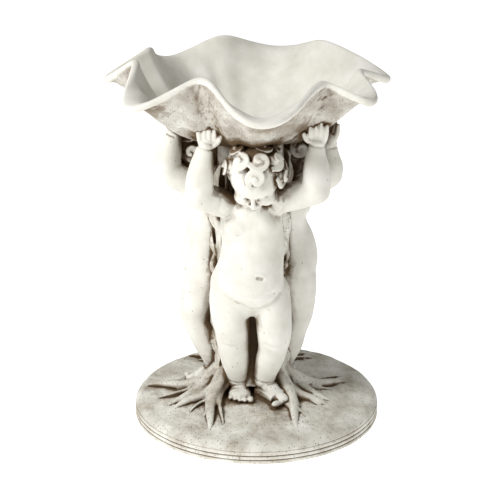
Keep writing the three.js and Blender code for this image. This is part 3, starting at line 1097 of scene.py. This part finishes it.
def grain_group() -> bpy.types.NodeTree:
    """The cast stone's fine grain: a height and a slow mottling of its tone."""
    group = node_group("cast_grain", [("Vector", "NodeSocketVector", None), ("Scale", "NodeSocketFloat", 600.0)],
                       [("Height", "NodeSocketFloat"), ("Mottle", "NodeSocketFloat")])
    start, end = group.nodes[0].outputs, group.nodes[1]
    fine = add_node(group, "ShaderNodeTexNoise",
                    {"Vector": start["Vector"], "Scale": start["Scale"], "Detail": 4.0, "Roughness": 0.6})
    slow = add_node(group, "ShaderNodeTexNoise", {"Vector": start["Vector"], "Scale": 22.0, "Detail": 5.0,
                                                  "Roughness": 0.62})
    spread = add_node(group, "ShaderNodeMapRange", {"Value": slow.outputs["Fac"], "From Min": 0.34, "From Max": 0.68})
    group.links.new(fine.outputs["Fac"], end.inputs["Height"])
    group.links.new(spread.outputs["Result"], end.inputs["Mottle"])
    return group


def pin_hole_group() -> bpy.types.NodeTree:
    """Pin holes of air caught against the mould: a mask that is 1 in a hole, and its depth."""
    group = node_group("pin_holes", [("Vector", "NodeSocketVector", None), ("Scale", "NodeSocketFloat", 240.0),
                                     ("Size", "NodeSocketFloat", 0.22), ("Share", "NodeSocketFloat", 0.5)],
                       [("Mask", "NodeSocketFloat"), ("Height", "NodeSocketFloat")])
    start, end = group.nodes[0].outputs, group.nodes[1]
    cells = add_node(group, "ShaderNodeTexVoronoi", {"Vector": start["Vector"], "Scale": start["Scale"]})
    away = add_node(group, "ShaderNodeMath", {"0": cells.outputs["Distance"], "1": start["Size"]}, operation="DIVIDE")
    hole = add_node(group, "ShaderNodeMapRange", {"Value": away.outputs[0], "From Min": 0.5, "From Max": 1.0,
                                                  "To Min": 1.0, "To Max": 0.0})
    tone = add_node(group, "ShaderNodeSeparateColor", {"Color": cells.outputs["Color"]})
    chosen = add_node(group, "ShaderNodeMath", {"0": tone.outputs[0], "1": start["Share"]}, operation="LESS_THAN")
    mask = add_node(group, "ShaderNodeMath", {"0": hole.outputs["Result"], "1": chosen.outputs[0]}, operation="MULTIPLY")
    depth = add_node(group, "ShaderNodeMath", {"0": 0.0, "1": mask.outputs[0]}, operation="SUBTRACT")
    group.links.new(mask.outputs[0], end.inputs["Mask"])
    group.links.new(depth.outputs[0], end.inputs["Height"])
    return group


def shade_and_wash_group() -> bpy.types.NodeTree:
    """Painted shade, with the thin brown wash that has settled, where the surface lies deep, over two tones of stone.
    """
    group = node_group("wash_and_painted_shade", [
        ("Light", "NodeSocketColor", (0.8, 0.8, 0.8, 1)), ("Dull", "NodeSocketColor", (0.6, 0.6, 0.6, 1)),
        ("Wash_and_shade_colour", "NodeSocketColor", (0.2, 0.15, 0.1, 1)), ("Depth", "NodeSocketFloat", 0.0),
        ("Mottle", "NodeSocketFloat", 0.5), ("Low", "NodeSocketFloat", 0.25), ("High", "NodeSocketFloat", 0.7)],
        [("Color", "NodeSocketColor"), ("Mask", "NodeSocketFloat")])
    start, end = group.nodes[0].outputs, group.nodes[1]
    stone = add_node(group, "ShaderNodeMix", {"Factor": start["Mottle"], "6": start["Light"], "7": start["Dull"]},
                     data_type="RGBA")
    # Where the surface lies deep the stone turns to the brown: painted shade together with the settled wash.
    lean = add_node(group, "ShaderNodeMath", {"0": start["Mottle"], "1": 0.12, "2": start["Depth"]},
                    operation="MULTIPLY_ADD")
    deep = add_node(group, "ShaderNodeMapRange", {"Value": lean.outputs[0], "From Min": start["Low"],
                                                  "From Max": start["High"]}, interpolation_type="SMOOTHSTEP")
    shaded_and_washed = add_node(group, "ShaderNodeMix", {"Factor": deep.outputs["Result"], "6": stone.outputs[2],
                                               "7": start["Wash_and_shade_colour"]}, data_type="RGBA")
    group.links.new(shaded_and_washed.outputs[2], end.inputs["Color"])
    group.links.new(deep.outputs["Result"], end.inputs["Mask"])
    return group


Colour = tuple[float, float, float, float]


@dataclass(frozen=True)
class StoneFinish:
    """Cast stone with a brown wash and painted shade in its depths, and pin holes painted dark."""

    name: str
    light: Colour = (0.83, 0.815, 0.75, 1)
    dull: Colour = (0.68, 0.655, 0.58, 1)
    # The brown of the wash, which also paints the shade in hollows and pin holes.
    wash_and_shade: Colour = (0.14, 0.09, 0.045, 1)
    low: float = 0.14
    high: float = 0.52
    hole_scale: float = 260
    hole_size: float = 0.34
    hole_share: float = 0.015
    hole_tone: float = 0.3
    grain: float = 0.25
    roughness: float = 0.86
    coarse: bool = False

    def material(self, groups: dict[str, bpy.types.NodeTree]) -> bpy.types.Material:
        """The finish as a procedural material.

        Args:
            groups: The shared node groups by name.

        Returns:
            The new material.
        """
        material = bpy.data.materials.new(self.name)
        material.use_nodes = True
        tree = material.node_tree
        shader = tree.nodes["Principled BSDF"]
        shader.inputs["Specular IOR Level"].default_value = 0.25
        place = add_node(tree, "ShaderNodeTexCoord", {})
        where = place.outputs["Object"]
        # How enclosed each vertex is, from the occlusion rays: it darkens the stone as painted shade together with the
        # brown wash.
        depth = add_node(tree, "ShaderNodeAttribute", {}, attribute_name="painted_shade_and_wash")
        grain = add_node(tree, "ShaderNodeGroup", {}, node_tree=groups["grain"])
        tree.links.new(where, grain.inputs["Vector"])
        holes = add_node(tree, "ShaderNodeGroup", {}, node_tree=groups["holes"])
        tree.links.new(where, holes.inputs["Vector"])
        holes.inputs["Scale"].default_value = self.hole_scale
        holes.inputs["Size"].default_value = self.hole_size
        holes.inputs["Share"].default_value = self.hole_share
        wash_and_shade = add_node(tree, "ShaderNodeGroup", {}, node_tree=groups["wash_and_shade"])
        for key, value in (("Light", self.light), ("Dull", self.dull), ("Wash_and_shade_colour", self.wash_and_shade), ("Low", self.low),
                           ("High", self.high)):
            wash_and_shade.inputs[key].default_value = value
        tree.links.new(grain.outputs["Mottle"], wash_and_shade.inputs["Mottle"])
        deep = depth.outputs["Fac"]
        if self.coarse:
            outside = add_node(tree, "ShaderNodeAttribute", {}, attribute_name="coarse")
            deep = add_node(tree, "ShaderNodeMath", {"0": outside.outputs["Fac"], "1": 0.24, "2": deep},
                            operation="MULTIPLY_ADD").outputs[0]
        tree.links.new(deep, wash_and_shade.inputs["Depth"])
        mask = holes.outputs["Mask"]
        rise = holes.outputs["Height"]
        if self.coarse:
            mask = add_node(tree, "ShaderNodeMath", {"0": mask, "1": outside.outputs["Fac"]},
                            operation="MULTIPLY").outputs[0]
            rise = add_node(tree, "ShaderNodeMath", {"0": rise, "1": outside.outputs["Fac"]},
                            operation="MULTIPLY").outputs[0]
        # Pin holes are darkened towards the brown: the wash caught in them, and painted shade in the hollow.
        shade = add_node(tree, "ShaderNodeMath", {"0": mask, "1": 1 - self.hole_tone}, operation="MULTIPLY")
        colour = add_node(tree, "ShaderNodeMix", {"Factor": shade.outputs[0], "6": wash_and_shade.outputs["Color"],
                                                  "7": self.wash_and_shade}, data_type="RGBA")
        tree.links.new(colour.outputs[2], shader.inputs["Base Color"])
        rough = add_node(tree, "ShaderNodeMapRange", {"Value": grain.outputs["Mottle"], "To Min": self.roughness - 0.08,
                                                      "To Max": self.roughness + 0.08})
        tree.links.new(rough.outputs["Result"], shader.inputs["Roughness"])
        height = add_node(tree, "ShaderNodeMath", {"0": grain.outputs["Height"], "1": self.grain, "2": rise},
                          operation="MULTIPLY_ADD")
        bump = add_node(tree, "ShaderNodeBump", {"Height": height.outputs[0], "Distance": 0.0007, "Strength": 0.7})
        tree.links.new(bump.outputs["Normal"], shader.inputs["Normal"])
        return material


def dress(piece: bpy.types.Object, material: bpy.types.Material) -> None:
    """Gives a piece its one material."""
    piece.data.materials.clear()
    piece.data.materials.append(material)


# ---------------------------------------------------------------------------- stage


def set_camera() -> None:
    """Places the camera that looks down on the statue's front."""
    data = bpy.data.cameras.new("camera")
    data.lens = 131.75
    data.sensor_width = 36
    camera = bpy.data.objects.new("camera", data)
    camera.location = (-0.0106, -2.74935, 1.3196)
    camera.rotation_euler = (math.radians(90 - 20.67), 0, 0)
    bpy.context.scene.collection.objects.link(camera)
    bpy.context.scene.camera = camera


def set_stage() -> None:
    """Lays a pale floor and sets soft light from the upper left."""
    deselect_all()
    bpy.ops.mesh.primitive_plane_add(size=12, location=(0, 0, -0.0005))
    floor = bpy.context.object
    floor.name = "floor"
    paper = bpy.data.materials.new("white_paper")
    paper.use_nodes = True
    shader = paper.node_tree.nodes["Principled BSDF"]
    shader.inputs["Base Color"].default_value = (0.95, 0.95, 0.95, 1)
    shader.inputs["Roughness"].default_value = 0.9
    shader.inputs["Emission Color"].default_value = (1, 1, 1, 1)
    shader.inputs["Emission Strength"].default_value = 0.8
    floor.data.materials.append(paper)
    for name, spot, size, power in (("key", (-1.7, -1.3, 2.2), 0.9, 57), ("fill", (2.4, -1.8, 1.0), 2.0, 5)):
        data = bpy.data.lights.new(name, "AREA")
        data.size = size
        data.energy = power
        lamp = bpy.data.objects.new(name, data)
        lamp.location = spot
        lamp.rotation_euler = (Vector((0, 0, 0.3)) - Vector(spot)).to_track_quat("-Z", "Y").to_euler()
        bpy.context.scene.collection.objects.link(lamp)
    world = bpy.data.worlds.new("studio")
    world.use_nodes = True
    tree = world.node_tree
    paths = add_node(tree, "ShaderNodeLightPath", {})
    level = add_node(tree, "ShaderNodeMapRange", {"Value": paths.outputs["Is Camera Ray"], "To Min": 0.34, "To Max": 1.0})
    tree.links.new(level.outputs["Result"], tree.nodes["Background"].inputs["Strength"])
    tree.nodes["Background"].inputs["Color"].default_value = (1, 1, 1, 1)
    bpy.context.scene.world = world
    bpy.context.scene.view_settings.view_transform = "Standard"


RIGHT_REACH = Reach((-40, 68, 382), (-81, 94, 405), (-71, 93, 472), (-66, 93, 491))
LEFT_REACH = Reach((40, 68, 388), (103, 93, 412), (100, 86, 472), (103, 84, 492))
FORWARD_REACH = Reach((40, 70, 386), (74, 113, 418), (64, 104, 466), (61, 101, 482))
LOW_REACH = Reach((-40, 68, 386), (-81, 97, 414), (-79, 98, 448), (-77, 97, 470))


def main() -> None:
    """Builds every piece in turn and binds it to the frame."""
    logging.basicConfig(level=logging.INFO, format="%(name)s: %(message)s")
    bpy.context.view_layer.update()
    set_camera()
    set_stage()
    bowl = Bowl()
    basin = bowl.build()
    room = bowl.room()
    plinth = Plinth()
    shift = (plinth.group_x, plinth.group_y, 0)
    ground = Trunk(plinth).build(plinth.base(), room, shift)
    cherubs = [
        Cherub("cherub_front", 0, RIGHT_REACH, LEFT_REACH, 3),
        Cherub("cherub_right", 120, LOW_REACH, LEFT_REACH, 5),
        Cherub("cherub_left", -120, RIGHT_REACH, FORWARD_REACH, 8),
    ]
    figures = [cherub.build(room, shift) for cherub in cherubs]
    bpy.data.objects.remove(room)
    # Occlusion rays give every vertex the mask of its painted shade and brown wash.
    mark_shade_and_wash([ground, basin, *figures])
    groups = {"grain": grain_group(), "holes": pin_hole_group(), "wash_and_shade": shade_and_wash_group()}
    skin = StoneFinish("ivory_stone").material(groups)
    for figure in figures:
        dress(figure, skin)
    dress(ground, StoneFinish("ground_stone", hole_share=0.4, grain=1.4, hole_tone=0.3,
                                low=0.02, high=0.5, dull=(0.52, 0.485, 0.40, 1)).material(groups))
    dress(basin, StoneFinish("bowl_stone", hole_share=0.5, grain=1.2, hole_tone=0.35, coarse=True).material(groups))
    for piece in (ground, *figures):
        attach(piece, "root")
        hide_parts("pedestal")
    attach(basin, "root")
    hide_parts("basin")


if __name__ == "__main__":
    main()
